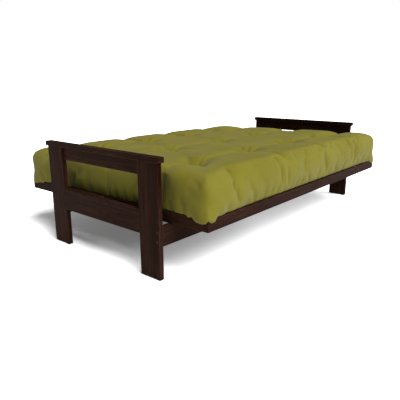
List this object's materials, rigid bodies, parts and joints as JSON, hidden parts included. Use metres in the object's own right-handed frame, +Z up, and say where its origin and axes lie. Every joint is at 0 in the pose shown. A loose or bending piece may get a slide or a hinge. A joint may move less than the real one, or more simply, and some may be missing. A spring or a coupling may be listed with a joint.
{
  "type": "futon sofa bed",
  "caption": "Low wooden bi-fold futon with slatted seat and back decks between two board arms, opened flat as a bed under a thick tufted mattress.",
  "frame": {"origin": "on the floor under the centre of the object's box as it lies open as a bed", "axes": "+X towards the right arm, -Y towards the front of the seat, +Z up"},
  "size_m": [2.014, 1.3961, 0.5555],
  "materials": {
    "frame_wood": "dark brown stain, satin lacquer",
    "slat_wood": "dark brown stain, satin lacquer",
    "dowel_wood": "plain fluted beech",
    "mattress_cover": "woven cotton drill, matt",
    "hinge_steel": "black powder coat",
    "zinc_fasteners": "yellow zinc plate",
    "nylon": "black nylon",
    "foot_felt": "hard felt glide"
  },
  "bodies": {
    "frame": {"left_front_leg": "frame_wood", "left_rear_leg": "frame_wood", "left_arm_cap": "frame_wood", "left_upper_rail": "frame_wood", "left_lower_rail": "frame_wood", "left_guide_track": "frame_wood", "right_front_leg": "frame_wood", "right_rear_leg": "frame_wood", "right_arm_cap": "frame_wood", "right_upper_rail": "frame_wood", "right_lower_rail": "frame_wood", "right_guide_track": "frame_wood", "front_stretcher": "frame_wood", "rear_stretcher": "frame_wood", "foot_glides": "foot_felt", "frame_dowels": "dowel_wood", "stretcher_bolts": "zinc_fasteners", "barrel_nuts": "zinc_fasteners", "track_screws": "zinc_fasteners"},
    "seat": {"seat_dowels": "dowel_wood", "seat_front_rail": "frame_wood", "seat_hinge_plates": "hinge_steel", "seat_hinge_rail": "frame_wood", "seat_left_end_rail": "frame_wood", "seat_middle_rail": "frame_wood", "seat_right_end_rail": "frame_wood", "seat_screws": "zinc_fasteners", "seat_slat_1": "slat_wood", "seat_slat_2": "slat_wood", "seat_slat_3": "slat_wood", "seat_slat_4": "slat_wood", "seat_slat_5": "slat_wood", "seat_slat_6": "slat_wood", "seat_slat_7": "slat_wood", "seat_slat_8": "slat_wood", "hinge_pins": "hinge_steel", "hinge_bushes": "nylon", "butt_hinge_seat_leaves": "hinge_steel", "butt_hinge_pins": "hinge_steel", "mattress_seat_half": "mattress_cover"},
    "back": {"back_dowels": "dowel_wood", "back_hinge_plates": "hinge_steel", "back_hinge_rail": "frame_wood", "back_left_end_rail": "frame_wood", "back_middle_rail": "frame_wood", "back_right_end_rail": "frame_wood", "back_screws": "zinc_fasteners", "back_slat_1": "slat_wood", "back_slat_2": "slat_wood", "back_slat_3": "slat_wood", "back_slat_4": "slat_wood", "back_slat_5": "slat_wood", "back_slat_6": "slat_wood", "back_slat_7": "slat_wood", "back_slat_8": "slat_wood", "back_top_rail": "frame_wood", "cam_pins": "hinge_steel", "cam_bushes": "nylon", "butt_hinge_back_leaves": "hinge_steel", "mattress_back_half": "mattress_cover"}
  },
  "joints": [
    {"name": "seat_slide", "type": "slide", "parent": "frame", "child": "seat", "axis": [0, 0.9999, -0.0141], "range_m": [0, 0.19]},
    {"name": "back_fold", "type": "hinge", "parent": "seat", "child": "back", "pos_m": [0, 0.00058, 0.28475], "axis": [1, 0, 0], "range_deg": [0, 75], "deforming": ["mattress_seat_half", "mattress_back_half"]}
  ],
  "couplings": [
    {"joint": "seat_slide", "follows": "back_fold", "m_per_rad": 0.14515}
  ]
}
